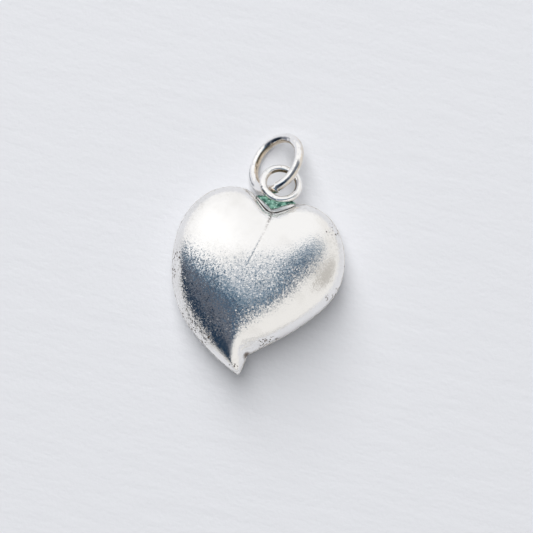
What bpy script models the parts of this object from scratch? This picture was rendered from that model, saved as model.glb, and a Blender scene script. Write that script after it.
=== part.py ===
"""Puffed heart pendant, lying on its back. Units are metres and +Z is up, out of its front.

Two stamped half shells are soldered rim to rim. A closed eye ring is soldered into the
cleft, and an open jump ring is linked through the eye. +Y runs from the tip to the rings.
"""

import math

import bmesh
import bpy
from mathutils import Euler, Vector
from mathutils.geometry import interpolate_bezier

MM = 0.001

# Heart outline as seen from the front, measured from the bottom of the cleft
HALF_WIDTH = 8.8 * MM
LENGTH = 16.95 * MM
WIDEST_DROP = 4.7 * MM
LOBE_X = 3.4 * MM
LOBE_RISE = 1.75 * MM
CLEFT_SLOPE = math.radians(27)

# The lower sides bow to the left and the tip hooks back to the right
TIP_X = 1.0 * MM
HOOK_HEIGHT = 2.2 * MM
HOOK_LEAN = 0.35 * MM
LEFT_HIP_INSET = 3.9 * MM
LEFT_HIP_RISE = 3.35 * MM
LEFT_HIP_HEADING = math.radians(322)
RIGHT_HIP_INSET = 2.9 * MM
RIGHT_HIP_RISE = 6.45 * MM
RIGHT_HIP_HEADING = math.radians(49)
TIP_ARRIVAL = math.radians(340)
TIP_LEAVING = math.radians(76)
NOTCH_ARRIVAL = math.radians(80)
NOTCH_LEAVING = math.radians(45)

# Shells: stamped domes with a short straight lip at the rim and a flat on the crown to lie on
THICKNESS = 8.0 * MM
WALL = 0.45 * MM
LIP = 0.15 * MM
CROWN_DROP = 6.4 * MM
CROWN_HALF_WIDTH = 8.3 * MM
CROWN_HALF_LENGTH = 7.2 * MM
CROWN_FLAT = 3.6 * MM
CREASE_FADE = 4

# Solder in the seam, and the vent left open in it
SEAM = 0.12 * MM
SEAM_PROUD = 0.06 * MM
VENT_DIAMETER = 0.36 * MM
VENT_HEADING = math.radians(-28)

# Eye ring, closed, its far side tipped back
EYE_DIAMETER = 4.5 * MM
EYE_WIRE = 0.78 * MM
EYE_X = 0.25 * MM
EYE_SEAT = 1.17 * MM
EYE_TILT = math.radians(28)

# Solder fillet in the cleft: how far it climbs the eye's wire and roots between the lobes
FILLET_HALF_WIDTH = 1.9 * MM
FILLET_HALF_THICKNESS = 1.0 * MM
FILLET_GRIP = 0.4 * MM
FILLET_ROOT = 0.35 * MM
FILLET_LIFT = 0.3 * MM
FIT_GAP = 0.05 * MM

# Jump ring, open: it leans on the eye's wire from inside and swings about the wire's far side
JUMP_DIAMETER = 7.0 * MM
JUMP_WIRE = 1.0 * MM
JUMP_TILT = math.radians(47)
JUMP_TURN = math.radians(19)
CUT_ANGLE = math.radians(-43)
CUT_GAP = 0.12 * MM
CUT_STEP = 0.2 * MM
LINK_GAP = 0.08 * MM
EYE_LINK_ANGLE = math.radians(217)
JUMP_LINK_ANGLE = math.radians(-60)
SWING_ANGLE = math.radians(75)

# Fineness of the facets
POINT_SPACING = 0.7 * MM
DOME_RINGS = 10
RING_STEPS = 60
WIRE_SIDES = 12

HALF_SEAM = SEAM / 2
DOME_HEIGHT = THICKNESS / 2 - HALF_SEAM - LIP
DOME_RISE = DOME_HEIGHT / math.sqrt(1 - (CROWN_FLAT / 2 / CROWN_HALF_WIDTH) ** 2)
EYE_RADIUS = (EYE_DIAMETER - EYE_WIRE) / 2
EYE_RISE = EYE_SEAT + EYE_RADIUS * math.cos(EYE_TILT) + EYE_WIRE / 2
JUMP_RADIUS = (JUMP_DIAMETER - JUMP_WIRE) / 2


def heading(angle):
    """Unit vector along a heading, anticlockwise from +X."""
    return Vector((math.cos(angle), math.sin(angle)))


def outline_knots():
    """Knots anticlockwise from the cleft: place, heading on arrival, heading on leaving."""
    down = math.radians(270)
    left = math.radians(180)
    up = math.radians(90)
    tip = Vector((TIP_X, -LENGTH))
    notch = tip + Vector((HOOK_LEAN, HOOK_HEIGHT))
    left_hip = Vector((LEFT_HIP_INSET - HALF_WIDTH, LEFT_HIP_RISE - LENGTH))
    right_hip = Vector((HALF_WIDTH - RIGHT_HIP_INSET, RIGHT_HIP_RISE - LENGTH))
    return [
        (Vector((0, 0)), left + CLEFT_SLOPE, left - CLEFT_SLOPE),
        (Vector((-LOBE_X, LOBE_RISE)), left, left),
        (Vector((-HALF_WIDTH, -WIDEST_DROP)), down, down),
        (left_hip, LEFT_HIP_HEADING, LEFT_HIP_HEADING),
        (tip, TIP_ARRIVAL, TIP_LEAVING),
        (notch, NOTCH_ARRIVAL, NOTCH_LEAVING),
        (right_hip, RIGHT_HIP_HEADING, RIGHT_HIP_HEADING),
        (Vector((HALF_WIDTH, -WIDEST_DROP)), up, up),
        (Vector((LOBE_X, LOBE_RISE)), left, left),
    ]


def outline_segment(start, end):
    """Points of the nearly round arc from one knot to the next, without its last point."""
    a, _, leaving = start
    b, arrival, _ = end
    chord = (b - a).length
    turn = math.remainder(arrival - leaving, math.tau)
    reach = chord / (3 * math.cos(turn / 4) ** 2)
    steps = max(3, round(chord / POINT_SPACING))
    handle_a = a + reach * heading(leaving)
    handle_b = b - reach * heading(arrival)
    return interpolate_bezier(a, handle_a, handle_b, b, steps + 1)[:-1]


def heart_outline():
    """The whole outline as points, anticlockwise from the cleft."""
    knots = outline_knots()
    points = []
    for start, end in zip(knots, knots[1:] + knots[:1]):
        points += [Vector(point[:2]) for point in outline_segment(start, end)]
    return points


def ring_radius(spoke, level, grow):
    """Distance from the crown to a ring along a spoke: heart shaped at the rim, oval higher up."""
    direction = spoke.normalized()
    oval = CROWN_HALF_WIDTH * CROWN_HALF_LENGTH / math.hypot(
        CROWN_HALF_LENGTH * direction.x, CROWN_HALF_WIDTH * direction.y)
    blend = level ** CREASE_FADE
    return level * (oval + blend * (spoke.length - oval) + grow)


def mesh_from(bm, name):
    """Finish a bmesh as a mesh with its faces pointing out."""
    bmesh.ops.recalc_face_normals(bm, faces=bm.faces)
    mesh = bpy.data.meshes.new(name)
    bm.to_mesh(mesh)
    bm.free()
    return mesh


def flatten_crown(bm, z):
    """Cut the crown off at a height and close it with a flat face."""
    everything = bm.verts[:] + bm.edges[:] + bm.faces[:]
    made = bmesh.ops.bisect_plane(
        bm, geom=everything, plane_co=(0, 0, z), plane_no=(0, 0, 1), clear_outer=True)["geom_cut"]
    bmesh.ops.contextual_create(bm, geom=[part for part in made if isinstance(part, bmesh.types.BMEdge)])


def extrude_rim(bm, z):
    """Carry the open edges straight to a height."""
    rim = [edge for edge in bm.edges if edge.is_boundary or edge.is_wire]
    made = bmesh.ops.extrude_edge_only(bm, edges=rim)["geom"]
    for v in made:
        if isinstance(v, bmesh.types.BMVert):
            v.co.z = z


def dome_mesh(name, lip, grow=0.0):
    """Open dome with its rim on z = 0: a half sphere whose meridians stretch to the outline."""
    crown = Vector((0, -CROWN_DROP))
    spokes = [point - crown for point in heart_outline()]
    count = len(spokes)
    bm = bmesh.new()
    bmesh.ops.create_uvsphere(bm, u_segments=count, v_segments=2 * DOME_RINGS, radius=1)
    lower = [v for v in bm.verts if v.co.z < -0.001]
    bmesh.ops.delete(bm, geom=lower, context="VERTS")
    for v in bm.verts:
        level = math.hypot(v.co.x, v.co.y)
        turn = math.atan2(-v.co.x, v.co.y) / math.tau
        spoke = spokes[round(turn * count) % count]
        plan = crown + ring_radius(spoke, level, grow) * spoke.normalized()
        v.co = (plan.x, plan.y, lip + v.co.z * (DOME_RISE + grow))
    extrude_rim(bm, 0)
    flatten_crown(bm, lip + DOME_HEIGHT + grow)
    return mesh_from(bm, name)


def seam_mesh():
    """Open ribbon as high as the seam, standing on the outline."""
    outline = heart_outline()
    bm = bmesh.new()
    ring = bmesh.ops.create_circle(bm, radius=1, segments=len(outline))["verts"]
    for v, point in zip(ring, outline):
        v.co = (point.x, point.y, -HALF_SEAM)
    extrude_rim(bm, HALF_SEAM)
    return mesh_from(bm, "seam_solder")


def material(name, colour, roughness, metallic):
    """Principled material in one colour."""
    made = bpy.data.materials.new(name)
    made.use_nodes = True
    shader = made.node_tree.nodes["Principled BSDF"]
    shader.inputs["Base Color"].default_value = (*colour, 1)
    shader.inputs["Roughness"].default_value = roughness
    shader.inputs["Metallic"].default_value = metallic
    made.diffuse_color = (*colour, 1)
    return made


def add_object(name, data, collection, parent):
    """New object in a collection, placed under its parent."""
    made = bpy.data.objects.new(name, data)
    collection.objects.link(made)
    made.parent = parent
    return made


def add_cutter(name, data, cutters, parent):
    """New object that only cuts others."""
    cutter = add_object(name, data, cutters, parent)
    cutter.hide_render = True
    cutter.display_type = "WIRE"
    return cutter


def thicken(part, thickness, outward):
    """Solidify an open surface to a thickness, some of it outward."""
    wall = part.modifiers.new("wall", "SOLIDIFY")
    wall.thickness = thickness
    wall.offset = 2 * outward / thickness - 1
    wall.use_even_offset = True


def cut(part, cutter):
    """Cut one closed shape out of another."""
    boolean = part.modifiers.new(cutter.name, "BOOLEAN")
    boolean.operation = "DIFFERENCE"
    boolean.solver = "EXACT"
    boolean.object = cutter


def mirror_z(thing):
    """Close an open dome with its mirror image across the seam's plane."""
    mirror = thing.modifiers.new("both_sides", "MIRROR")
    mirror.use_axis = (False, False, True)
    mirror.merge_threshold = 0.001 * MM


def shade(mesh):
    """Shade round faces smooth and keep real edges sharp."""
    mesh.shade_smooth()
    mesh.set_sharp_from_angle(angle=math.radians(40))


def vent_cutter(cutters, frame):
    """Drill for the vent, in the hook's inner corner, where the solder was left open."""
    radius = VENT_DIAMETER / 2
    bm = bmesh.new()
    bmesh.ops.create_cone(bm, cap_ends=True, segments=WIRE_SIDES, radius1=radius, radius2=radius, depth=6 * WALL)
    drill = add_cutter("vent_drill", mesh_from(bm, "vent_drill"), cutters, frame)
    drill.location = (TIP_X + HOOK_LEAN, HOOK_HEIGHT - LENGTH, 0)
    drill.rotation_euler = (0, math.radians(90), VENT_HEADING)
    return drill


def heart_cutter(cutters, frame):
    """Room for the whole heart, larger than it all round by the seam's bead and the fit gap."""
    mesh = dome_mesh("heart_room", LIP + HALF_SEAM, SEAM_PROUD + FIT_GAP)
    room = add_cutter("heart_room", mesh, cutters, frame)
    mirror_z(room)
    return room


def shell(name, side, parts, frame, vent):
    """One stamped half, with its rim on its own side of the seam."""
    mesh = dome_mesh(name, LIP)
    if side < 0:
        mesh.transform(((1, 0, 0, 0), (0, 1, 0, 0), (0, 0, -1, 0), (0, 0, 0, 1)))
        mesh.flip_normals()
    shade(mesh)
    mesh.materials.append(material(name, (0.86, 0.85, 0.84), 0.22, 1.0))
    half = add_object(name, mesh, parts, frame)
    half.location.z = side * HALF_SEAM
    thicken(half, WALL, 0)
    cut(half, vent)


def seam_solder(parts, frame, vent):
    """Bead of solder between the rims, a little proud of them."""
    mesh = seam_mesh()
    shade(mesh)
    mesh.materials.append(material("seam_solder", (0.62, 0.58, 0.52), 0.45, 1.0))
    seam = add_object("seam_solder", mesh, parts, frame)
    thicken(seam, WALL + SEAM_PROUD, SEAM_PROUD)
    cut(seam, vent)


def eye_mesh(name, wire):
    """Closed ring of round wire around the eye's own centre line."""
    bpy.ops.mesh.primitive_torus_add(
        major_segments=RING_STEPS, minor_segments=WIRE_SIDES, major_radius=EYE_RADIUS, minor_radius=wire / 2)
    made = bpy.context.object
    mesh = made.data
    mesh.name = name
    bpy.data.objects.remove(made)
    return mesh


def eye_turn():
    """The eye ring's far side is tipped back."""
    return Euler((-EYE_TILT, 0, 0))


def place_as_eye(thing):
    """Put a ring in the eye's place."""
    thing.location = (EYE_X, EYE_RISE, 0)
    thing.rotation_euler = eye_turn()


def eye_ring(parts, frame):
    """Closed ring that stands in the cleft."""
    mesh = eye_mesh("eye_ring", EYE_WIRE)
    shade(mesh)
    mesh.materials.append(material("eye_ring", (0.85, 0.84, 0.82), 0.2, 1.0))
    place_as_eye(add_object("eye_ring", mesh, parts, frame))


def eye_cutter(cutters, frame):
    """Room for the eye ring, with the fit gap round its wire."""
    room = add_cutter("eye_room", eye_mesh("eye_room", EYE_WIRE + 2 * FIT_GAP), cutters, frame)
    place_as_eye(room)
    return room


def eye_solder(parts, frame, heart_room, eye_room):
    """Fillet in the cleft, shaped by the lobes below it and by the eye ring in it."""
    top = EYE_SEAT + FILLET_GRIP
    size = (FILLET_HALF_WIDTH, (top + FILLET_ROOT) / 2, FILLET_HALF_THICKNESS)
    bm = bmesh.new()
    bmesh.ops.create_icosphere(bm, subdivisions=3, radius=1)
    bmesh.ops.scale(bm, vec=size, verts=bm.verts)
    mesh = mesh_from(bm, "eye_solder")
    shade(mesh)
    mesh.materials.append(material("eye_solder", (0.1, 0.35, 0.28), 0.7, 0.3))
    fillet = add_object("eye_solder", mesh, parts, frame)
    fillet.location = (EYE_X, (top - FILLET_ROOT) / 2, FILLET_LIFT)
    cut(fillet, heart_room)
    cut(fillet, eye_room)


def ring_spot(angle, radius):
    """Point of a flat ring's centre line about its own middle."""
    return Vector((radius * math.cos(angle), radius * math.sin(angle), 0))


def eye_spot(angle):
    """Point of the eye's centre line, in the heart's directions."""
    middle = Vector((EYE_X, EYE_RISE, 0))
    return middle + eye_turn().to_matrix() @ ring_spot(angle, EYE_RADIUS)


def jump_turn():
    """The jump ring's right side is raised and its far side turned to the right."""
    return Euler((0, -JUMP_TILT, -JUMP_TURN))


def jump_spot(share):
    """Point of the open ring's wire about its own middle, a share of the way from cut to cut."""
    half_gap = CUT_GAP / 2 / JUMP_RADIUS
    angle = CUT_ANGLE + half_gap + share * (math.tau - 2 * half_gap)
    return ring_spot(angle, JUMP_RADIUS) + Vector((0, 0, CUT_STEP * (0.5 - share)))


def jump_middle():
    """Middle of the jump ring, from where its wire leans on the eye's wire."""
    turn = jump_turn().to_matrix()
    quarter = math.radians(90)
    eye_run = eye_turn().to_matrix() @ ring_spot(EYE_LINK_ANGLE + quarter, 1)
    jump_run = turn @ ring_spot(JUMP_LINK_ANGLE + quarter, 1)
    away = jump_run.cross(eye_run).normalized()
    wire = eye_spot(EYE_LINK_ANGLE) + away * (EYE_WIRE / 2 + LINK_GAP + JUMP_WIRE / 2)
    share = (JUMP_LINK_ANGLE - CUT_ANGLE) / math.tau % 1
    return wire - turn @ jump_spot(share)


def jump_ring(parts, frame):
    """Open ring through the eye, with its origin on the axis it swings on."""
    curve = bpy.data.curves.new("jump_ring", "CURVE")
    curve.dimensions = "3D"
    curve.bevel_depth = JUMP_WIRE / 2
    curve.bevel_resolution = (WIRE_SIDES - 4) // 2
    curve.use_fill_caps = True
    swing = eye_spot(SWING_ANGLE)
    middle = jump_turn().to_matrix().inverted() @ (jump_middle() - swing)
    spline = curve.splines.new("POLY")
    spline.points.add(RING_STEPS)
    for i, knot in enumerate(spline.points):
        knot.co = (*(middle + jump_spot(i / RING_STEPS)), 1)
    curve.materials.append(material("jump_ring", (0.87, 0.86, 0.85), 0.2, 1.0))
    ring = add_object("jump_ring", curve, parts, frame)
    ring.location = swing
    ring.rotation_euler = jump_turn()


def settle(parts, frame):
    """Stand the pendant on z = 0 with the middle of its box over the origin."""
    bpy.context.view_layer.update()
    view = bpy.context.evaluated_depsgraph_get()
    corners = []
    for part in parts.objects:
        if part.type != "EMPTY":
            shown = part.evaluated_get(view)
            corners += [shown.matrix_world @ v.co for v in shown.to_mesh().vertices]
            shown.to_mesh_clear()
    low = [min(corner[i] for corner in corners) for i in range(3)]
    high = [max(corner[i] for corner in corners) for i in range(3)]
    frame.location = (-(low[0] + high[0]) / 2, -(low[1] + high[1]) / 2, -low[2])


def new_collection(name):
    """Collection in the open scene."""
    made = bpy.data.collections.new(name)
    bpy.context.scene.collection.children.link(made)
    return made


def main():
    for thing in list(bpy.data.objects):
        bpy.data.objects.remove(thing)
    parts = new_collection("heart_pendant")
    cutters = new_collection("cutters")
    frame = add_object("heart_frame", None, parts, None)
    vent = vent_cutter(cutters, frame)
    shell("front_shell", 1, parts, frame, vent)
    shell("back_shell", -1, parts, frame, vent)
    seam_solder(parts, frame, vent)
    eye_ring(parts, frame)
    eye_solder(parts, frame, heart_cutter(cutters, frame), eye_cutter(cutters, frame))
    jump_ring(parts, frame)
    settle(parts, frame)


main()
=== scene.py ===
"""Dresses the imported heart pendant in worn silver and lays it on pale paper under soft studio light.

Everything is in metres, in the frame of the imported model. The heart's own drawing starts at
the bottom of its cleft, on the plane of the seam, and HEART is where that point lies.
"""

import math

import bmesh
import bpy
from mathutils import Euler, Matrix, Vector, noise
from mathutils.geometry import interpolate_bezier, intersect_point_line


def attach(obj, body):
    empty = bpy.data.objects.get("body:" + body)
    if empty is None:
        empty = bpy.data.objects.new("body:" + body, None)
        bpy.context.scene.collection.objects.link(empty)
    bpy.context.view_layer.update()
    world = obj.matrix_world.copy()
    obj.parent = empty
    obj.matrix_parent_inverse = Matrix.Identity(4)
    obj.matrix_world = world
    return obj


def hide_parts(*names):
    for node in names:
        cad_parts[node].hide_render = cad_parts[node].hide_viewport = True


MM = 0.001
HEART = Vector((0, 4.2349, 4.0)) * MM

# Heart outline, as in the solids: knots anticlockwise from the cleft as place, arrival, leaving
OUTLINE = [
    ((0, 0), 207, 153),
    ((-3.4, 1.75), 180, 180),
    ((-8.8, -4.7), 270, 270),
    ((-4.9, -13.6), 322, 322),
    ((1.0, -16.95), 340, 76),
    ((1.35, -14.75), 80, 45),
    ((5.9, -10.5), 49, 49),
    ((8.8, -4.7), 90, 90),
    ((3.4, 1.75), 180, 180),
]
NOTCH = Vector((1.35, -14.75)) * MM

# Shells
HALF_SEAM = 0.06 * MM
LIP = 0.15 * MM
WALL = 0.45 * MM
CROWN = Vector((0, -6.4)) * MM
CROWN_HALF_WIDTH = 8.3 * MM
CROWN_HALF_LENGTH = 7.2 * MM
CREASE_FADE = 4
DOME_HEIGHT = 3.79 * MM
DOME_RISE = 3.9 * MM
CROWN_SOFTNESS = 0.12 * MM
VENT_DIAMETER = 0.36 * MM
VENT_DEPTH = 6 * WALL
VENT_HEADING = -28
SWELL = 0.02 * MM
SWELL_SIZE = 2.4 * MM

# Reach of the rounding of the outline at the rim, and what it gains up to the crown. The solids
# have neither.
CORNER_REACH = 0.3 * MM
ROUNDING_REACH = 9 * MM

# The ridge from the crown to the tip leans sideways part of the way up, which the solids leave out
SPINE_HEADING = -84.6
SPINE_LEAN = 0.7 * MM
SPINE_NARROWNESS = 40
SPINE_FADE = 6

# Incised crease from the cleft down the front, and its groove
CREASE = [(0.05, 0.2), (0.08, -0.33), (-0.17, -2.14), (-0.58, -4.23), (-0.9, -5.5), (-1.0, -6.6)]
CREASE_DEPTH = 0.025 * MM
CREASE_WIDTH = 0.12 * MM
CREASE_REACH = 3 * CREASE_WIDTH

# Wear by the seam, which also darkens the silver there as painted shade: up to where it is full,
# where it ends, how large and deep its marks are, and how many times taller than wide the painted
# shade round the vent is
WEAR_FULL = 1.1 * MM
WEAR_END = 2.3 * MM
WEAR_PATCH_SIZE = 2.6 * MM
ROUGH_SIZE = 0.2 * MM
ROUGH_DEPTH = 0.015 * MM
PIT_SIZE = 0.34 * MM
PIT_DEPTH = 0.07 * MM
VENT_SHADE_STRETCH = 4

# Pitted places by the seam: where they lie on the heart, and how far they reach
PITTED = [
    ((3.2, -13.3), 1.4),
    ((-4.6, -13.2), 2.3),
    ((0.3, -16.4), 0.6),
    ((6.6, 0.0), 0.9),
    ((8.4, -6.7), 1.0),
    ((-8.4, -7.5), 1.6),
]

# Solder bead in the seam
BEAD_HALF_WIDTH = 0.13 * MM
BEAD_HALF_HEIGHT = 0.17 * MM
BEAD_REACH = 0.06 * MM
BEAD_UNEVENNESS = 0.2
BEAD_LUMP_SIZE = 0.5 * MM
BEAD_DENT = 0.18
BEAD_DENT_SIZE = 0.3 * MM

# Where the green crust on the solder starts, in the frame, how steeply its edge rises to the
# sides and how far it is drawn out there. In millimetres: from where to where that stretch sets
# in, how soft and how ragged the edge is, how much the bare solder and the crust swell, and the
# height of the crust's lumps.
CRUST_MIDDLE = HEART + Vector((-0.06, 0.34, 0)) * MM
CRUST_SPREAD = 0.55
CRUST_STRETCH = 0.3
CRUST_DRAWN = (0.2, 1.4)
CRUST_EDGE = 0.08
CRUST_RAGGEDNESS = 0.12
CRUST_RAG_SIZE = 0.5 * MM
BARE_SWELL = 0.02
CRUST_SWELL = 0.1
BIG_LUMP = 0.05
BIG_LUMP_SIZE = 0.4 * MM
SMALL_LUMP = 0.04
SMALL_LUMP_SIZE = 0.15 * MM

# Eye ring and jump ring. The wear draws the jump ring's wire a little thinner than the solid's,
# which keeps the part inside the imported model's box.
EYE_RADIUS = 1.86 * MM
EYE_WIRE = 0.78 * MM
EYE_MIDDLE = Vector((0.25, 3.2023, 0)) * MM
EYE_TILT = 28
JUMP_RADIUS = 3.0 * MM
JUMP_WIRE = 1.0 * MM
JUMP_TILT = 47
JUMP_TURN = 19
JUMP_WEAR = 0.965
CUT_ANGLE = -43
CUT_GAP = 0.12 * MM
CUT_STEP = 0.2 * MM
LINK_GAP = 0.08 * MM
EYE_LINK_ANGLE = 217
JUMP_LINK_ANGLE = -60
WIRE_UNEVENNESS = 0.006
WIRE_LUMP_SIZE = 0.5 * MM
CUT_EDGE = 0.06

# Dark patches on the rings, painted shade towards the outside of the wire and dark stains towards its
# inside: the run round the ring from one angle to another, the middle of the patch round the wire's
# section (0 outward, 90 to the front, 180 inward) and its half width there
JUMP_STAINS_AND_SHADE = [(80, 165, 120, 20), (145, 215, 146, 14), (-42, 30, 42, 15), (205, 262, 60, 11)]
EYE_STAINS_AND_SHADE = [(-25, 40, 165, 45), (50, 150, 166, 30), (205, 238, 42, 20)]

# Fineness of the meshes
POINT_SPACING = 0.22 * MM
DOME_RINGS = 48
INNER_RINGS = 10
CREASE_CUTS = 3
VENT_SIDES = 24
BEAD_SIDES = 10
RING_STEPS = 144
WIRE_SIDES = 28
CRUST_VOXEL = 0.05 * MM

# The photograph: its lens, and how the heart lies in it
VIEW_LEAN = 14.7
VIEW_MIDDLE = Vector((0.954, -1.172, 4.0)) * MM
VIEW_WIDTH = 54.9 * MM
LENS = 105
SENSOR = 36

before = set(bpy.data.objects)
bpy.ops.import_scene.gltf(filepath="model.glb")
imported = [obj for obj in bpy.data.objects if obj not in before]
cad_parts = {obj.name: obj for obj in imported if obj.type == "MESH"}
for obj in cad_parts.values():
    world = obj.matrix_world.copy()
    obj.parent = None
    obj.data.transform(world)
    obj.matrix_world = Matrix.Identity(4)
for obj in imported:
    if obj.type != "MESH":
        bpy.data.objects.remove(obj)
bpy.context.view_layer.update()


def heading(degrees):
    """Unit vector along a heading, anticlockwise from +X."""
    angle = math.radians(degrees)
    return Vector((math.cos(angle), math.sin(angle)))


def smooth(low, high, value):
    """0 below low, 1 above high, eased between."""
    share = min(1, max(0, (value - low) / (high - low)))
    return share * share * (3 - 2 * share)


def speckle(place, size, seed=0):
    """Smooth noise from -1 to 1 with features about a size across."""
    return noise.noise(place / size + Vector((seed * 17.3, seed * 5.1, seed * 9.7)))


def heart_outline():
    """The whole outline as points, anticlockwise from the cleft."""
    points = []
    for (a, _, leaving), (b, arrival, _) in zip(OUTLINE, OUTLINE[1:] + OUTLINE[:1]):
        a, b = Vector(a) * MM, Vector(b) * MM
        chord = (b - a).length
        turn = math.radians((arrival - leaving + 180) % 360 - 180)
        reach = chord / (3 * math.cos(turn / 4) ** 2)
        steps = max(6, round(chord / POINT_SPACING))
        handles = a + reach * heading(leaving), b - reach * heading(arrival)
        points += [Vector(p[:2]) for p in interpolate_bezier(a, *handles, b, steps + 1)[:-1]]
    return points


def skin(bm, rows, closed):
    """Quads between rows of vertices that each close on themselves."""
    pairs = list(zip(rows, rows[1:]))
    if closed:
        pairs.append((rows[-1], rows[0]))
    for a, b in pairs:
        for i in range(len(a)):
            j = (i + 1) % len(a)
            bm.faces.new((a[i], a[j], b[j], b[i]))


def crown_height(z):
    """Height of the dome with its top eased into the flat of the crown."""
    over = (z - DOME_HEIGHT) / CROWN_SOFTNESS
    return z - CROWN_SOFTNESS * math.log1p(math.exp(min(30, over)))


def rounded(outline, reach):
    """The outline with each point drawn to the middle of its neighbours within a reach."""
    steps = round(reach / POINT_SPACING)
    count = len(outline)
    span = range(-steps, steps + 1)
    return [sum((outline[(i + k) % count] for k in span), Vector((0, 0))) / len(span) for i in range(count)]


def plan_point(spoke, level, grow):
    """Where a dome's point lies seen from the front: heart shaped at the rim, oval higher up."""
    direction = spoke.normalized()
    oval = CROWN_HALF_WIDTH * CROWN_HALF_LENGTH / math.hypot(
        CROWN_HALF_LENGTH * direction.x, CROWN_HALF_WIDTH * direction.y)
    radius = level * (oval + level ** CREASE_FADE * (spoke.length - oval) + grow)
    toward_tip = max(0, direction.dot(heading(SPINE_HEADING))) ** SPINE_NARROWNESS
    share = level ** SPINE_FADE
    lean = SPINE_LEAN * toward_tip * 4 * share * (1 - share)
    return CROWN + radius * direction - Vector((lean, 0))


def dome(bm, rings, grow=0.0):
    """Open dome with its foot on z = 0."""
    outline = heart_outline()
    count = len(outline)
    ball = bmesh.ops.create_uvsphere(bm, u_segments=count, v_segments=2 * rings, radius=1)["verts"]
    upper = [v for v in ball if v.co.z > -0.001]
    bmesh.ops.delete(bm, geom=[v for v in ball if v.co.z < -0.001], context="VERTS")
    levels = [math.cos(math.pi / 2 * ring / rings) for ring in range(rings + 1)]
    outlines = [rounded(outline, CORNER_REACH + ROUNDING_REACH * (1 - level)) for level in levels]
    rim = [None] * count
    for v in upper:
        spoke = round(math.atan2(-v.co.x, v.co.y) / math.tau * count) % count
        ring = round(math.asin(min(1, v.co.z)) / (math.pi / 2) * rings)
        if ring == 0:
            rim[spoke] = v
        plan = plan_point(outlines[ring][spoke] - CROWN, levels[ring], grow)
        v.co = (plan.x, plan.y, LIP + crown_height(v.co.z * (DOME_RISE + grow)))
    foot = [bm.verts.new((v.co.x, v.co.y, 0)) for v in rim]
    skin(bm, [foot, rim], False)


def foot_points(bm, known=()):
    """Points of a dome's foot in order round the crown, leaving out those of a known foot."""
    foot = set(v for v in bm.verts if v.co.z == 0) - set(known)
    return sorted(foot, key=lambda v: math.atan2(v.co.y - CROWN.y, v.co.x - CROWN.x))


def crease_distance(point):
    """Distance in plan from the crease, and how far down it the nearest place is, from 0 to 1."""
    best = (1.0, 0.0)
    for i, (a, b) in enumerate(zip(CREASE, CREASE[1:])):
        a, b = Vector((*a, 0)) * MM, Vector((*b, 0)) * MM
        flat = Vector((point.x, point.y, 0))
        near, share = intersect_point_line(flat, a, b)
        share = min(1, max(0, share))
        near = a.lerp(b, share)
        best = min(best, ((flat - near).length, (i + share) / (len(CREASE) - 1)))
    return best


def split_near_crease(bm):
    """Make the mesh fine enough round the crease to hold its groove."""
    domed = [f for f in bm.faces if f.calc_center_median().z > LIP]
    near = {f for f in domed if crease_distance(f.calc_center_median())[0] < CREASE_REACH}
    edges = [e for e in bm.edges if not near.isdisjoint(e.link_faces)]
    bmesh.ops.subdivide_edges(bm, edges=edges, cuts=CREASE_CUTS, use_grid_fill=True)


def rim_wear_and_shade(point):
    """How rough the shell is left near the seam, which also sets how far its colour is darkened there as
    painted shade, and how deep it is pitted there.
    """
    low = 1 - smooth(WEAR_FULL, WEAR_END, point.z)
    patches = 0.3 + 0.7 * smooth(-0.1, 0.35, speckle(point, WEAR_PATCH_SIZE, 3))
    flat = Vector(point[:2]) / MM
    pitted = max(1 - smooth(0.6, 1.1, (flat - Vector(spot)).length / reach) for spot, reach in PITTED)
    return low * patches, low * pitted


# Masks on the shells: crease and vent carry painted shade, worn carries wear and painted shade, pitted
# carries pits.
MASKS = ("crease", "worn", "pitted", "vent")


def dress_dome(bm, front):
    """Hand-made swell, pits by the seam and the crease, with masks for the material, among them painted
    shade.
    """
    crease, worn, pitted, vent = (bm.verts.layers.float[name] for name in MASKS)
    bm.normal_update()
    for v in bm.verts:
        inward = SWELL * (0.5 + 0.5 * speckle(v.co, SWELL_SIZE)) * smooth(0, 1 * MM, v.co.z)
        # The worn mask roughens the shell by the seam and also darkens its colour there as painted shade.
        v[worn], v[pitted] = rim_wear_and_shade(v.co)
        inward += PIT_DEPTH * v[pitted] * smooth(0.0, 0.45, speckle(v.co, PIT_SIZE, 1))
        inward += ROUGH_DEPTH * v[worn] * (1 + speckle(v.co, ROUGH_SIZE, 2))
        # Painted shade: brown round the vent in the hook's inner corner, drawn out across the seam.
        from_vent = (v.co - Vector((*NOTCH, 0))) / VENT_DIAMETER
        from_vent.z /= VENT_SHADE_STRETCH
        v[vent] = (1 - smooth(0.9, 1.4, from_vent.length)) * (0.85 + 0.15 * speckle(v.co, ROUGH_SIZE, 9))
        if front:
            away, down = crease_distance(v.co)
            groove = math.exp(-(away / CREASE_WIDTH) ** 2) * (1 - smooth(0.75, 1, down))
            inward += CREASE_DEPTH * groove * (1.4 - down)
            # Painted shade: the crease mask browns the groove, strongest near the cleft.
            v[crease] = groove * (1 - 0.85 * smooth(0.1, 0.4, down))
        if v.co.z > 0:
            v.co -= v.normal * inward


def shell(name, side):
    """One stamped half: the worn outside, a plain inside and the rim between them."""
    bm = bmesh.new()
    for mask in MASKS:
        bm.verts.layers.float.new(mask)
    dome(bm, DOME_RINGS)
    if side > 0:
        split_near_crease(bm)
    dress_dome(bm, side > 0)
    outer = foot_points(bm)
    dome(bm, INNER_RINGS, -WALL)
    skin(bm, [outer, foot_points(bm, outer)], False)
    if side < 0:
        bmesh.ops.scale(bm, vec=(1, 1, -1), verts=bm.verts)
    bmesh.ops.translate(bm, vec=HEART + Vector((0, 0, side * HALF_SEAM)), verts=bm.verts)
    bmesh.ops.recalc_face_normals(bm, faces=bm.faces)
    half = add_object(name, bm)
    drill_vent(half)
    return half


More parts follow.
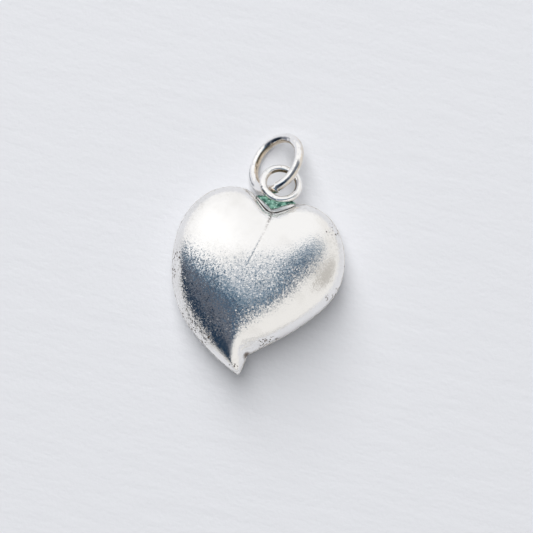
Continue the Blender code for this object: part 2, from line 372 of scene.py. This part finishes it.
def drill_vent(part):
    """Drill the vent in the hook's inner corner."""
    bm = bmesh.new()
    radius = VENT_DIAMETER / 2
    bmesh.ops.create_cone(bm, cap_ends=True, segments=VENT_SIDES, radius1=radius, radius2=radius,
                          depth=VENT_DEPTH)
    turn = Euler((0, math.radians(90), math.radians(VENT_HEADING))).to_matrix().to_4x4()
    place = Matrix.Translation(HEART + Vector((*NOTCH, 0)))
    bmesh.ops.transform(bm, matrix=place @ turn, verts=bm.verts)
    drill = add_object("vent_drill", bm)
    boolean = part.modifiers.new("vent", "BOOLEAN")
    boolean.operation = "DIFFERENCE"
    boolean.solver = "EXACT"
    boolean.object = drill
    apply_modifiers(part)
    bpy.data.objects.remove(drill)


def apply_modifiers(part):
    """Replace an object's mesh by what its modifiers make of it."""
    view = bpy.context.evaluated_depsgraph_get()
    made = bpy.data.meshes.new_from_object(part.evaluated_get(view))
    part.modifiers.clear()
    part.data = made
    made.name = part.name


def add_object(name, bm):
    """Object from a bmesh, shaded smooth."""
    mesh = bpy.data.meshes.new(name)
    bm.to_mesh(mesh)
    bm.free()
    mesh.shade_smooth()
    made = bpy.data.objects.new(name, mesh)
    bpy.context.scene.collection.objects.link(made)
    return made


def seam_bead():
    """Uneven bead of solder run round the rims."""
    outline = rounded(heart_outline(), CORNER_REACH)
    bm = bmesh.new()
    rows = []
    for i, point in enumerate(outline):
        run = (outline[(i + 1) % len(outline)] - outline[i - 1]).normalized()
        out = Vector((run.y, -run.x, 0))
        middle = Vector((*point, 0)) + out * (BEAD_REACH - BEAD_HALF_WIDTH)
        size = 1 - BEAD_UNEVENNESS + BEAD_UNEVENNESS * speckle(middle, BEAD_LUMP_SIZE)
        row = []
        for k in range(BEAD_SIDES):
            angle = math.tau * k / BEAD_SIDES
            dent = 1 - BEAD_DENT * (0.5 + 0.5 * speckle(middle + out * k * MM, BEAD_DENT_SIZE, 4))
            across = math.cos(angle) * BEAD_HALF_WIDTH * dent
            up = math.sin(angle) * BEAD_HALF_HEIGHT * size
            row.append(bm.verts.new(HEART + middle + out * across + Vector((0, 0, up))))
        rows.append(row)
    skin(bm, rows, True)
    bmesh.ops.recalc_face_normals(bm, faces=bm.faces)
    bead = add_object("seam_bead", bm)
    drill_vent(bead)
    return bead


def ring_spot(degrees, radius):
    """Point of a flat ring's centre line about its own middle."""
    return Vector((*(heading(degrees) * radius), 0))


def stain_and_shade_share(spot, angle, start, end, side, width):
    """How dark the wire is at an angle of its section, within the run round the ring of a patch of stain and
    painted shade.
    """
    round_ring = math.degrees(math.atan2(spot.y, spot.x))
    run = (round_ring - start) % 360 / ((end - start) % 360)
    off = abs((math.degrees(angle) - side + 180) % 360 - 180)
    return smooth(0, 0.12, run) * (1 - smooth(0.88, 1, run)) * (1 - smooth(0.7, 1.3, off / width))


def wire_ring(name, spots, wire, closed, matrix, stains_and_shade=()):
    """Round wire along a ring's centre line, slightly uneven, with masks for facing out and for stains and
    painted shade.
    """
    bm = bmesh.new()
    facing = bm.verts.layers.float.new("facing")
    stain_and_shade = bm.verts.layers.float.new("stain_and_shade")
    rows = []
    for spot in spots:
        out = Vector((spot.x, spot.y, 0)).normalized()
        row = []
        for k in range(WIRE_SIDES):
            angle = math.tau * k / WIRE_SIDES
            section = out * math.cos(angle) + Vector((0, 0, math.sin(angle)))
            worn = WIRE_UNEVENNESS * (1 + speckle(spot + section * wire, WIRE_LUMP_SIZE))
            v = bm.verts.new(spot + section * wire / 2 * (1 - worn))
            v[facing] = math.cos(angle)
            v[stain_and_shade] = max((stain_and_shade_share(spot, angle, *place) for place in stains_and_shade), default=0)
            row.append(v)
        rows.append(row)
    skin(bm, rows, closed)
    if not closed:
        for row in (rows[0], rows[-1]):
            bmesh.ops.inset_region(bm, faces=[bm.faces.new(row)], thickness=wire * CUT_EDGE)
    bmesh.ops.recalc_face_normals(bm, faces=bm.faces)
    bmesh.ops.transform(bm, matrix=matrix, verts=bm.verts)
    return add_object(name, bm)


def eye_turn():
    """The eye ring's far side is tipped back."""
    return Euler((-math.radians(EYE_TILT), 0, 0)).to_matrix()


def eye_loop():
    """Closed ring that stands in the cleft."""
    spots = [ring_spot(360 * i / RING_STEPS, EYE_RADIUS) for i in range(RING_STEPS)]
    place = Matrix.Translation(HEART + EYE_MIDDLE) @ eye_turn().to_4x4()
    return wire_ring("eye_loop", spots, EYE_WIRE, True, place, EYE_STAINS_AND_SHADE)


def jump_spot(share):
    """Point of the open ring's wire about its own middle, a share of the way from cut to cut."""
    half_gap = math.degrees(CUT_GAP / 2 / JUMP_RADIUS)
    degrees = CUT_ANGLE + half_gap + share * (360 - 2 * half_gap)
    return ring_spot(degrees, JUMP_RADIUS) + Vector((0, 0, CUT_STEP * (0.5 - share)))


def jump_loop():
    """Open ring that leans on the eye's wire from inside."""
    turn = Euler((0, -math.radians(JUMP_TILT), -math.radians(JUMP_TURN))).to_matrix()
    eye_run = eye_turn() @ ring_spot(EYE_LINK_ANGLE + 90, 1)
    jump_run = turn @ ring_spot(JUMP_LINK_ANGLE + 90, 1)
    away = jump_run.cross(eye_run).normalized()
    wire = EYE_MIDDLE + eye_turn() @ ring_spot(EYE_LINK_ANGLE, EYE_RADIUS)
    wire += away * (EYE_WIRE / 2 + LINK_GAP + JUMP_WIRE / 2)
    middle = wire - turn @ jump_spot((JUMP_LINK_ANGLE - CUT_ANGLE) / 360 % 1)
    spots = [jump_spot(i / RING_STEPS) for i in range(RING_STEPS + 1)]
    place = Matrix.Translation(HEART + middle) @ turn.to_4x4()
    return wire_ring("jump_loop", spots, JUMP_WIRE * JUMP_WEAR, False, place, JUMP_STAINS_AND_SHADE)


def verdigris_fillet():
    """The solder fillet in the cleft, swollen into a crust."""
    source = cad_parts["eye_solder"]
    mesh = source.data.copy()
    crust = bpy.data.objects.new("verdigris_fillet", mesh)
    bpy.context.scene.collection.objects.link(crust)
    mesh.materials.clear()
    remesh = crust.modifiers.new("remesh", "REMESH")
    remesh.mode = "VOXEL"
    remesh.voxel_size = CRUST_VOXEL
    apply_modifiers(crust)
    mesh = crust.data
    green = mesh.attributes.new("green", "FLOAT", "POINT")
    for v, out, mask in zip(mesh.vertices, [v.normal.copy() for v in mesh.vertices], green.data):
        off = v.co - CRUST_MIDDLE
        above = off.y - CRUST_SPREAD * abs(off.x)
        ragged = above / MM + CRUST_RAGGEDNESS * speckle(v.co, CRUST_RAG_SIZE, 7)
        mask.value = smooth(-CRUST_EDGE, CRUST_EDGE, ragged)
        further = CRUST_STRETCH * off.x * smooth(*CRUST_DRAWN, abs(off.x) / MM)
        v.co += Vector((further, CRUST_SPREAD * abs(further), 0))
        lump = BIG_LUMP * speckle(v.co, BIG_LUMP_SIZE, 5) + SMALL_LUMP * speckle(v.co, SMALL_LUMP_SIZE, 6)
        v.co += out * (BARE_SWELL + (CRUST_SWELL + lump) * mask.value) * MM
    mesh.shade_smooth()
    return crust


# How far the grains of the frosted silver lean: all of them, and what the few far ones add
GRAIN_LEAN = 0.62
FAR_GRAIN_LEAN = 1.8


class Graph:
    """Adds nodes to a tree and links them."""

    def __init__(self, tree):
        self.tree = tree

    def add(self, kind, inputs=None, **settings):
        """New node with its settings, each input a value or another node's output."""
        made = self.tree.nodes.new(kind)
        for key, value in settings.items():
            setattr(made, key, value)
        for key, value in (inputs or {}).items():
            if isinstance(value, bpy.types.NodeSocket):
                self.tree.links.new(value, made.inputs[key])
            else:
                made.inputs[key].default_value = value
        return made

    def math(self, operation, a, b=0.0, c=0.0, clamp=False):
        """One step of arithmetic on numbers or outputs."""
        return self.add("ShaderNodeMath", {0: a, 1: b, 2: c}, operation=operation, use_clamp=clamp).outputs[0]

    def vector(self, operation, inputs):
        """One step of arithmetic on vectors."""
        return self.add("ShaderNodeVectorMath", inputs, operation=operation).outputs[0]

    def length(self, arrow):
        """Length of a vector."""
        return self.add("ShaderNodeVectorMath", {0: arrow}, operation="LENGTH").outputs["Value"]

    def distance(self, spot, middle):
        """Distance of a place from a middle."""
        made = self.add("ShaderNodeVectorMath", {0: spot, 1: middle}, operation="DISTANCE")
        return made.outputs["Value"]

    def ease(self, value, low, high):
        """0 below low and 1 above high, eased between."""
        made = self.add("ShaderNodeMapRange", {"Value": value, "From Min": low, "From Max": high},
                        interpolation_type="SMOOTHSTEP")
        return made.outputs["Result"]

    def span(self, value, low, high):
        """A value from 0 to 1 spread from low to high."""
        made = self.add("ShaderNodeMapRange", {"Value": value, "To Min": low, "To Max": high})
        return made.outputs["Result"]

    def blend(self, share, a, b):
        """Colour between two colours: its sockets are 0 for the share and 6 and 7 for the colours."""
        made = self.add("ShaderNodeMix", data_type="RGBA")
        for key, value in ((0, share), (6, a), (7, b)):
            if isinstance(value, bpy.types.NodeSocket):
                self.tree.links.new(value, made.inputs[key])
            else:
                made.inputs[key].default_value = (*value, 1) if key else value
        return made.outputs[2]

    def place(self):
        """Place on the part in millimetres."""
        where = self.add("ShaderNodeTexCoord").outputs["Object"]
        return self.vector("SCALE", {0: where, "Scale": 1 / MM})

    def noise(self, place, size, detail=2.0, stretch=None):
        """Noise with features about a size across, in millimetres."""
        if stretch:
            turn, scale = stretch
            place = self.add("ShaderNodeMapping", {"Vector": place, "Rotation": turn, "Scale": scale},
                             vector_type="POINT").outputs[0]
        made = self.add("ShaderNodeTexNoise", {"Vector": place, "Scale": 1 / size, "Detail": detail})
        return made.outputs["Fac"]

    def cells(self, place, size):
        """Distance from the nearest of scattered points, in sizes."""
        return self.add("ShaderNodeTexVoronoi", {"Vector": place, "Scale": 1 / size}).outputs["Distance"]

    def bump(self, height, depth, normal=None):
        """Normal bent by a height from 0 to 1 that stands for a depth."""
        inputs = {"Height": height, "Distance": depth, "Strength": 1.0}
        if normal:
            inputs["Normal"] = normal
        return self.add("ShaderNodeBump", inputs).outputs["Normal"]

    def facets(self, place, size, tilt):
        """Normal leant a random way in each of many small cells, far in a few of them."""
        cells = self.add("ShaderNodeTexVoronoi", {"Vector": place, "Scale": 1 / size}).outputs["Color"]
        away = self.vector("SUBTRACT", {0: cells, 1: (0.5, 0.5, 0.5)})
        far = self.math("POWER", self.length(away), 4.0)
        spread = self.math("MULTIPLY_ADD", far, FAR_GRAIN_LEAN, GRAIN_LEAN)
        away = self.vector("SCALE", {0: away, "Scale": self.math("MULTIPLY", spread, tilt)})
        normal = self.add("ShaderNodeNewGeometry").outputs["Normal"]
        return self.vector("NORMALIZE", {0: self.vector("ADD", {0: normal, 1: away})})

    def attribute(self, name):
        """A mask stored on the mesh."""
        return self.add("ShaderNodeAttribute", attribute_name=name).outputs["Fac"]


def new_material(name):
    """Empty Principled material, its graph and its shader."""
    made = bpy.data.materials.new(name)
    made.use_nodes = True
    return made, Graph(made.node_tree), made.node_tree.nodes["Principled BSDF"]


def connect(graph, shader, outputs):
    """Connect outputs to a shader's inputs by name."""
    for key, value in outputs.items():
        graph.tree.links.new(value, shader.inputs[key])


def finish_metal(graph, shader, colour, roughness, normal):
    """Connect a metal's colour, roughness and normal to its shader."""
    shader.inputs["Metallic"].default_value = 1.0
    connect(graph, shader, {"Base Color": colour, "Roughness": roughness, "Normal": normal})


# Colours of the materials
SILVER = (0.95, 0.94, 0.93)
# Darker silver: for dull patches, and for the painted shade by the seam.
DARKER_SILVER = (0.72, 0.70, 0.67)
TAN = (0.73, 0.63, 0.51)
# Brown: dirt, tarnish and grime, and on the shells also painted shade in the crease and round the vent.
BROWN = (0.11, 0.075, 0.05)
# Painted shade on the rings' outer side.
OUTER_SHADE = (0.24, 0.25, 0.28)
INNER_STAIN = (0.25, 0.20, 0.125)
SOLDER = (0.86, 0.84, 0.8)
DULL_SOLDER = (0.62, 0.57, 0.5)
TEAL = (0.022, 0.082, 0.064)
GREEN = (0.19, 0.38, 0.30)
MINT = (0.52, 0.76, 0.66)
PAPER_SHADE = (0.775, 0.783, 0.815)

# Where the shells' grain is worn smooth, in millimetres in the frame, from where that starts to
# where it is full: high up, by the tip, on the left flank, and on the lower right one along the
# direction RIGHT_FLANK. Then how smooth the flanks are, and how much of the grain the polish takes.
POLISH_TOP = (-2.5, 2.5)
POLISH_TIP = (-8.2, -10.7)
POLISH_LEFT = (-6.0, -8.2)
POLISH_RIGHT = (4.2, 5.6)
RIGHT_FLANK = (0.818, -0.576)
FLANK_POLISH = 0.8
POLISH_EFFECT = 0.75


def polish_share(graph, place):
    """How far the grain is worn smooth: high up, by the tip and on both flanks."""
    across, along, _ = graph.add("ShaderNodeSeparateXYZ", {0: place}).outputs
    flank = graph.math("MULTIPLY", across, RIGHT_FLANK[0])
    flank = graph.math("MULTIPLY_ADD", along, RIGHT_FLANK[1], flank)
    polish = graph.math("MAXIMUM", graph.ease(along, *POLISH_TOP), graph.ease(along, *POLISH_TIP))
    for side in (graph.ease(across, *POLISH_LEFT), graph.ease(flank, *POLISH_RIGHT)):
        polish = graph.math("MAXIMUM", polish, graph.math("MULTIPLY", side, FLANK_POLISH))
    return polish


def shell_dirt_and_shade(graph, place):
    """Brown: dirt left in the pits by the seam, and painted shade in the crease and round the vent."""
    pits = graph.math("MULTIPLY_ADD", graph.noise(place, 0.12), 0.5, graph.cells(place, 0.26))
    pits = graph.ease(pits, 0.7, 0.56)
    pits = graph.math("MULTIPLY", pits, graph.ease(graph.noise(place, 0.6, 2.0), 0.47, 0.56))
    pits = graph.math("MULTIPLY", pits, graph.ease(graph.attribute("pitted"), 0.1, 0.4))
    # Painted shade along the crease, broken up by noise.
    brown_share = graph.ease(graph.noise(place, 0.2, 2.0), 0.4, 0.5)
    brown_share = graph.math("MULTIPLY", graph.attribute("crease"), brown_share)
    return graph.math("MAXIMUM", graph.math("MAXIMUM", pits, brown_share), graph.attribute("vent"))


def shell_colour(graph, place, patches, worn, brown_share):
    """Silver, darker in patches, and darker and mottled by the seam as wear and painted shade, with the brown
    of pit dirt and painted shade on it.
    """
    darkening = graph.math("MULTIPLY", graph.ease(patches, 0.45, 0.7), 0.2)
    # Painted shade: darker and mottled by the seam, on top of the wear there.
    darkening = graph.math("MULTIPLY_ADD", worn, 0.08, darkening)
    mottle = graph.math("MULTIPLY", worn, graph.ease(graph.noise(place, 0.25, 2.0), 0.5, 0.62))
    darkening = graph.math("MULTIPLY_ADD", mottle, 0.35, darkening, clamp=True)
    return graph.blend(brown_share, graph.blend(darkening, SILVER, DARKER_SILVER), BROWN)


def shell_silver():
    """Bright silver with a frosted grain, fine scratches and brown left in the pits by the seam, and painted
    shade by the seam, in the crease and round the vent.
    """
    made, graph, shader = new_material("shell_silver")
    place = graph.place()
    frost = graph.noise(place, 0.12, 1.0)
    peel = graph.noise(place, 0.45, 2.0)
    patches = graph.noise(place, 2.5, 3.0)
    scratch_a = graph.noise(place, 0.6, 2.0, ((0.3, 0.2, 0.5), (0.3, 12.0, 12.0)))
    scratch_b = graph.noise(place, 0.6, 2.0, ((0.1, 0.4, -0.9), (0.3, 14.0, 14.0)))
    worn = graph.attribute("worn")
    grain = graph.math("MULTIPLY_ADD", polish_share(graph, place), -POLISH_EFFECT, 1.0)
    brown_share = shell_dirt_and_shade(graph, place)
    colour = shell_colour(graph, place, patches, worn, brown_share)
    specks = graph.math("MULTIPLY", graph.ease(graph.noise(place, 0.2, 1.0), 0.5, 0.6), grain)
    roughness = graph.span(patches, 0.08, 0.15)
    for share, more in ((specks, 0.16), (worn, 0.06)):
        roughness = graph.math("MULTIPLY_ADD", share, more, roughness)
    roughness = graph.math("MULTIPLY_ADD", brown_share, 0.4, roughness, clamp=True)
    normal = graph.facets(place, 0.13, graph.math("MULTIPLY", graph.span(patches, 0.16, 0.28), grain))
    for height, depth in ((peel, 0.006), (frost, 0.01), (scratch_a, 0.003), (scratch_b, 0.002)):
        normal = graph.bump(height, depth * MM, normal)
    normal = graph.bump(graph.math("SUBTRACT", 1.0, brown_share), 0.03 * MM, normal)
    finish_metal(graph, shader, colour, roughness, normal)
    return made


def ring_silver():
    """Bright drawn wire, with tan tarnish and dark edges on its inner side, a tan band along its outer side
    as a painted reflection, and patches of stain and painted shade.
    """
    made, graph, shader = new_material("ring_silver")
    place = graph.place()
    facing = graph.attribute("facing")
    uneven = graph.math("MULTIPLY_ADD", graph.noise(place, 0.5, 3.0), 0.5, -0.25)
    inside = graph.math("SUBTRACT", uneven, facing)
    outside = graph.math("ADD", uneven, facing)
    # Painted reflection: a tan band along the wire's outer side, for the dark that its outline reflects.
    painted_outer_reflection = graph.math("MULTIPLY", graph.ease(outside, 0.8, 1.0), 0.6)
    tan = graph.math("MAXIMUM", graph.ease(inside, 0.62, 0.9), painted_outer_reflection)
    broken = graph.ease(graph.noise(place, 0.8), 0.5, 0.6)
    dark = graph.math("MULTIPLY", graph.ease(inside, 0.9, 1.15), broken)
    # Patches of stain and painted shade: towards the wire's outside they take the painted shade colour.
    stain_and_shade = graph.math("MULTIPLY", graph.attribute("stain_and_shade"), graph.ease(graph.noise(place, 0.6), 0.3, 0.45))
    colour = graph.blend(tan, SILVER, TAN)
    colour = graph.blend(dark, colour, BROWN)
    colour = graph.blend(stain_and_shade, colour, graph.blend(tan, OUTER_SHADE, INNER_STAIN))
    fine = graph.noise(place, 0.12, 2.0)
    nicks = graph.ease(graph.noise(place, 0.35, 1.0), 0.62, 0.7)
    roughness = graph.span(fine, 0.06, 0.12)
    roughness = graph.math("MULTIPLY_ADD", tan, 0.14, roughness)
    roughness = graph.math("MULTIPLY_ADD", nicks, 0.1, roughness)
    normal = graph.bump(graph.noise(place, 0.35, 2.0), 0.006 * MM)
    normal = graph.bump(fine, 0.0015 * MM, normal)
    normal = graph.bump(nicks, 0.02 * MM, normal)
    finish_metal(graph, shader, colour, roughness, normal)
    return made


def bead_solder():
    """Dull solder, pitted and brown in its hollows."""
    made, graph, shader = new_material("bead_solder")
    place = graph.place()
    lumps = graph.noise(place, 0.25, 3.0)
    pits = graph.ease(graph.cells(place, 0.3), 0.4, 0.15)
    brown_share = graph.math("MULTIPLY", pits, graph.ease(graph.noise(place, 0.9, 2.0), 0.42, 0.58))
    colour = graph.blend(graph.ease(lumps, 0.4, 0.7), SOLDER, DULL_SOLDER)
    colour = graph.blend(brown_share, colour, BROWN)
    roughness = graph.math("ADD", graph.span(lumps, 0.2, 0.4), graph.math("MULTIPLY", brown_share, 0.3))
    normal = graph.bump(lumps, 0.03 * MM)
    normal = graph.bump(graph.math("SUBTRACT", 1.0, brown_share), 0.03 * MM, normal)
    finish_metal(graph, shader, colour, roughness, normal)
    return made


def verdigris():
    """Solder with a matt copper green crust, dark teal with mint grains, in a V above the lobes."""
    made, graph, shader = new_material("verdigris")
    place = graph.place()
    green = graph.attribute("green")
    grime = graph.math("MULTIPLY", graph.math("MULTIPLY", green, graph.math("SUBTRACT", 1.0, green)), 4.0)
    grime = graph.math("MULTIPLY", grime, graph.ease(graph.noise(place, 0.2), 0.4, 0.55))
    clouds = graph.noise(place, 0.5, 3.0)
    grains = graph.ease(graph.cells(place, 0.2), 0.5, 0.15)
    copper = graph.blend(graph.ease(clouds, 0.42, 0.6), TEAL, GREEN)
    mint = graph.math("MULTIPLY", grains, graph.ease(graph.noise(place, 0.4), 0.46, 0.58))
    copper = graph.blend(mint, copper, MINT)
    colour = graph.blend(grime, SILVER, BROWN)
    colour = graph.blend(green, colour, copper)
    bare = graph.math("SUBTRACT", 1.0, green)
    roughness = graph.math("MULTIPLY_ADD", green, 0.35, 0.45)
    normal = graph.bump(graph.math("MULTIPLY", clouds, green), 0.05 * MM)
    normal = graph.bump(graph.math("MULTIPLY", grains, green), 0.03 * MM, normal)
    connect(graph, shader, {"Base Color": colour, "Roughness": roughness, "Normal": normal, "Metallic": bare})
    return made


# The backdrop's colour, the paper's half width, and from where to where in millimetres the
# paper passes into the backdrop
BACKGROUND = (0.79, 0.798, 0.83)
PAPER_HALF_WIDTH = 2.0
PAPER_END = (80, 400)


def seen_directly(graph):
    """Camera rays, and all rays that show a thing to the camera, itself or in metal or glass."""
    rays = graph.add("ShaderNodeLightPath").outputs
    seen = graph.math("MAXIMUM", rays["Is Camera Ray"], rays["Is Glossy Ray"])
    return rays["Is Camera Ray"], graph.math("MAXIMUM", seen, rays["Is Transmission Ray"])


def paper():
    """Pale, faintly blue paper with a soft tooth, that passes into the backdrop far away."""
    made, graph, shader = new_material("paper")
    place = graph.place()
    fibres = graph.noise(place, 0.5, 4.0)
    waves = graph.noise(place, 3.5, 3.0, ((0, 0, 0.3), (0.6, 2.2, 1.0)))
    tone = graph.math("ADD", graph.math("MULTIPLY", fibres, 0.5), graph.math("MULTIPLY", waves, 0.5))
    colour = graph.blend(tone, PAPER_SHADE, BACKGROUND)
    normal = graph.bump(fibres, 0.03 * MM)
    normal = graph.bump(waves, 0.07 * MM, normal)
    shader.inputs["Roughness"].default_value = 0.8
    shader.inputs["Specular IOR Level"].default_value = 0.2
    connect(graph, shader, {"Base Color": colour, "Normal": normal})
    far = graph.math("MULTIPLY", graph.ease(graph.length(place), *PAPER_END), seen_directly(graph)[1])
    backdrop = graph.add("ShaderNodeEmission", {"Color": (*BACKGROUND, 1)}).outputs[0]
    mixed = graph.add("ShaderNodeMixShader", {0: far, 1: shader.outputs[0], 2: backdrop}).outputs[0]
    graph.tree.links.new(mixed, made.node_tree.nodes["Material Output"].inputs["Surface"])
    return made


# Studio surroundings, drawn on the sky seen from below. A direction's place is its right and up
# in the photograph, divided by one plus its height, so that the horizon is a circle of radius 1.
# A dark room lies low on the left, under a shallow valley in the white ceiling. A pale screen
# hides its right side, with a grey patch on it, and a low wall its foot. A glow lies up on the left.
VALLEY_MIDDLE = -0.05
VALLEY_FLOOR = -0.06
VALLEY_LEFT = 0.40
VALLEY_RIGHT = 0.76
VALLEY_TOP = 0.24
VALLEY_SHARPENING = 4.5
ROOM = [(-1.2, (0.018, 0.038, 0.070)), (-0.8, (0.170, 0.175, 0.200)), (-0.38, (0.038, 0.082, 0.143)),
        (-0.23, (0.11, 0.18, 0.255)), (-0.15, (0.22, 0.30, 0.37)), (-0.1, (0.28, 0.35, 0.43)),
        (0.0, (0.52, 0.56, 0.61)), (0.09, (0.86, 0.87, 0.88)), (0.2, (0.97, 0.97, 0.97))]
SCREEN_OFFSET = 0.37
SCREEN_RIGHT = 0.505
SCREEN_EDGE = (-0.09, 0.07)
SCREEN = (0.87, 0.86, 0.84)
PATCH = (0.55, 0.53, 0.5)
PATCH_MIDDLE = (0.64, -0.06, 0)
PATCH_EDGE = (0.1, 0.22)
WALL_COLOUR = (0.62, 0.61, 0.59)
WALL_MIDDLE = (0.08, 0.16, 0)
WALL_RADIUS = 1.03
WALL_SOFTNESS = 0.02
GLOW = 0.14
GLOW_MIDDLE = (-0.3, 0.33, 0)
GLOW_EDGE = (0.4, 0.05)

# Strip softbox that casts the shadow: where it stands, as right, up and height in the
# photograph, and how much of the surroundings' own light falls on what isn't mirror bright
LAMP_PLACE = (-0.2, 0.75, 1.2)
LAMP_WIDTH = 0.7
LAMP_LENGTH = 2.2
LAMP_POWER = 27.4
AMBIENT = 0.25


def sky_place(graph):
    """A direction's place to the right and up."""
    way = graph.add("ShaderNodeTexCoord").outputs["Generated"]
    way = graph.add("ShaderNodeVectorRotate", {"Vector": way, "Angle": -math.radians(VIEW_LEAN)},
                    rotation_type="Z_AXIS").outputs[0]
    parts = graph.add("ShaderNodeSeparateXYZ", {0: way}).outputs
    depth = graph.math("ADD", parts["Z"], 1.0)
    return graph.math("DIVIDE", parts["X"], depth), graph.math("DIVIDE", parts["Y"], depth)


def room_colour(graph, right, up):
    """White ceiling down to its valley, and the dark room under it."""
    side = graph.math("SUBTRACT", right, VALLEY_MIDDLE)
    off_middle = graph.math("ABSOLUTE", side)
    edge = graph.math("MULTIPLY_ADD", off_middle, (VALLEY_RIGHT + VALLEY_LEFT) / 2, VALLEY_FLOOR)
    edge = graph.math("MULTIPLY_ADD", side, (VALLEY_RIGHT - VALLEY_LEFT) / 2, edge)
    edge = graph.math("MINIMUM", edge, VALLEY_TOP)
    above = graph.math("SUBTRACT", up, edge)
    above = graph.math("MULTIPLY", above, graph.math("MULTIPLY_ADD", off_middle, VALLEY_SHARPENING, 1.0))
    lowest, highest = ROOM[0][0], ROOM[-1][0]
    share = graph.math("MULTIPLY_ADD", above, 1 / (highest - lowest), -lowest / (highest - lowest))
    ramp = graph.add("ShaderNodeValToRGB", {"Fac": share})
    steps = ramp.color_ramp.elements
    while len(steps) < len(ROOM):
        steps.new(0.5)
    for step, (at, colour) in zip(steps, ROOM):
        step.position = (at - lowest) / (highest - lowest)
        step.color = (*colour, 1)
    return ramp.outputs["Color"]


def screened(graph, sky, right, up, spot):
    """The sky with the screen and its patch before its right side, and the wall before its foot."""
    beyond = graph.math("SUBTRACT", graph.math("SUBTRACT", right, up), SCREEN_OFFSET)
    beyond = graph.math("MAXIMUM", graph.math("MULTIPLY", beyond, math.sqrt(0.5)),
                        graph.math("SUBTRACT", right, SCREEN_RIGHT))
    screen = graph.blend(graph.ease(graph.distance(spot, PATCH_MIDDLE), *PATCH_EDGE), PATCH, SCREEN)
    sky = graph.blend(graph.ease(beyond, *SCREEN_EDGE), sky, screen)
    from_middle = graph.distance(spot, WALL_MIDDLE)
    wall = graph.ease(from_middle, WALL_RADIUS - WALL_SOFTNESS, WALL_RADIUS + WALL_SOFTNESS)
    return graph.blend(wall, sky, WALL_COLOUR)


def studio_world():
    """Soft white overhead, a dark room low on one side, a pale screen on the other."""
    world = bpy.data.worlds.new("studio")
    world.use_nodes = True
    bpy.context.scene.world = world
    world.node_tree.nodes.clear()
    graph = Graph(world.node_tree)
    right, up = sky_place(graph)
    spot = graph.add("ShaderNodeCombineXYZ", {"X": right, "Y": up}).outputs[0]
    sky = screened(graph, room_colour(graph, right, up), right, up, spot)
    glow = graph.math("MULTIPLY_ADD", graph.ease(graph.distance(spot, GLOW_MIDDLE), *GLOW_EDGE), GLOW, 1.0)
    sky = graph.vector("SCALE", {0: sky, "Scale": glow})
    by_camera, seen = seen_directly(graph)
    sky = graph.blend(by_camera, sky, BACKGROUND)
    light = graph.add("ShaderNodeBackground", {"Color": sky, "Strength": graph.span(seen, AMBIENT, 1.0)})
    graph.add("ShaderNodeOutputWorld", {"Surface": light.outputs[0]})


def paper_floor():
    """The sheet of paper that the pendant lies on."""
    bm = bmesh.new()
    bmesh.ops.create_grid(bm, x_segments=1, y_segments=1, size=PAPER_HALF_WIDTH)
    floor = add_object("paper_floor", bm)
    floor.data.materials.append(paper())


def softbox():
    """The strip softbox, which metal doesn't mirror."""
    lamp = bpy.data.lights.new("softbox", "AREA")
    lamp.shape = "RECTANGLE"
    lamp.size = LAMP_WIDTH
    lamp.size_y = LAMP_LENGTH
    lamp.energy = LAMP_POWER
    box = bpy.data.objects.new("softbox", lamp)
    bpy.context.scene.collection.objects.link(box)
    box.location = Matrix.Rotation(math.radians(VIEW_LEAN), 3, "Z") @ Vector(LAMP_PLACE)
    box.rotation_euler = box.location.to_track_quat("Z", "Y").to_euler()
    box.visible_glossy = False


def camera():
    """Straight above the heart, turned as the photograph is."""
    lens = bpy.data.cameras.new("camera")
    lens.lens = LENS
    lens.sensor_width = SENSOR
    lens.clip_start = 0.01
    lens.clip_end = 10
    made = bpy.data.objects.new("camera", lens)
    bpy.context.scene.collection.objects.link(made)
    made.location = VIEW_MIDDLE + Vector((0, 0, VIEW_WIDTH * LENS / SENSOR))
    made.rotation_euler = (0, 0, math.radians(VIEW_LEAN))
    bpy.context.scene.camera = made


def dress(piece, material, body, node):
    """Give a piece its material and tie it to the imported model."""
    piece.data.materials.clear()
    piece.data.materials.append(material)
    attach(piece, body)
    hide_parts(node)


silver = shell_silver()
wire_silver = ring_silver()
dress(shell("heart_front", 1), silver, "heart", "front_shell")
dress(shell("heart_back", -1), silver, "heart", "back_shell")
dress(seam_bead(), bead_solder(), "heart", "seam_solder")
dress(eye_loop(), wire_silver, "heart", "eye_ring")
dress(verdigris_fillet(), verdigris(), "heart", "eye_solder")
dress(jump_loop(), wire_silver, "jump_ring", "jump_ring")
studio_world()
paper_floor()
softbox()
camera()
bpy.context.scene.view_settings.view_transform = "Standard"
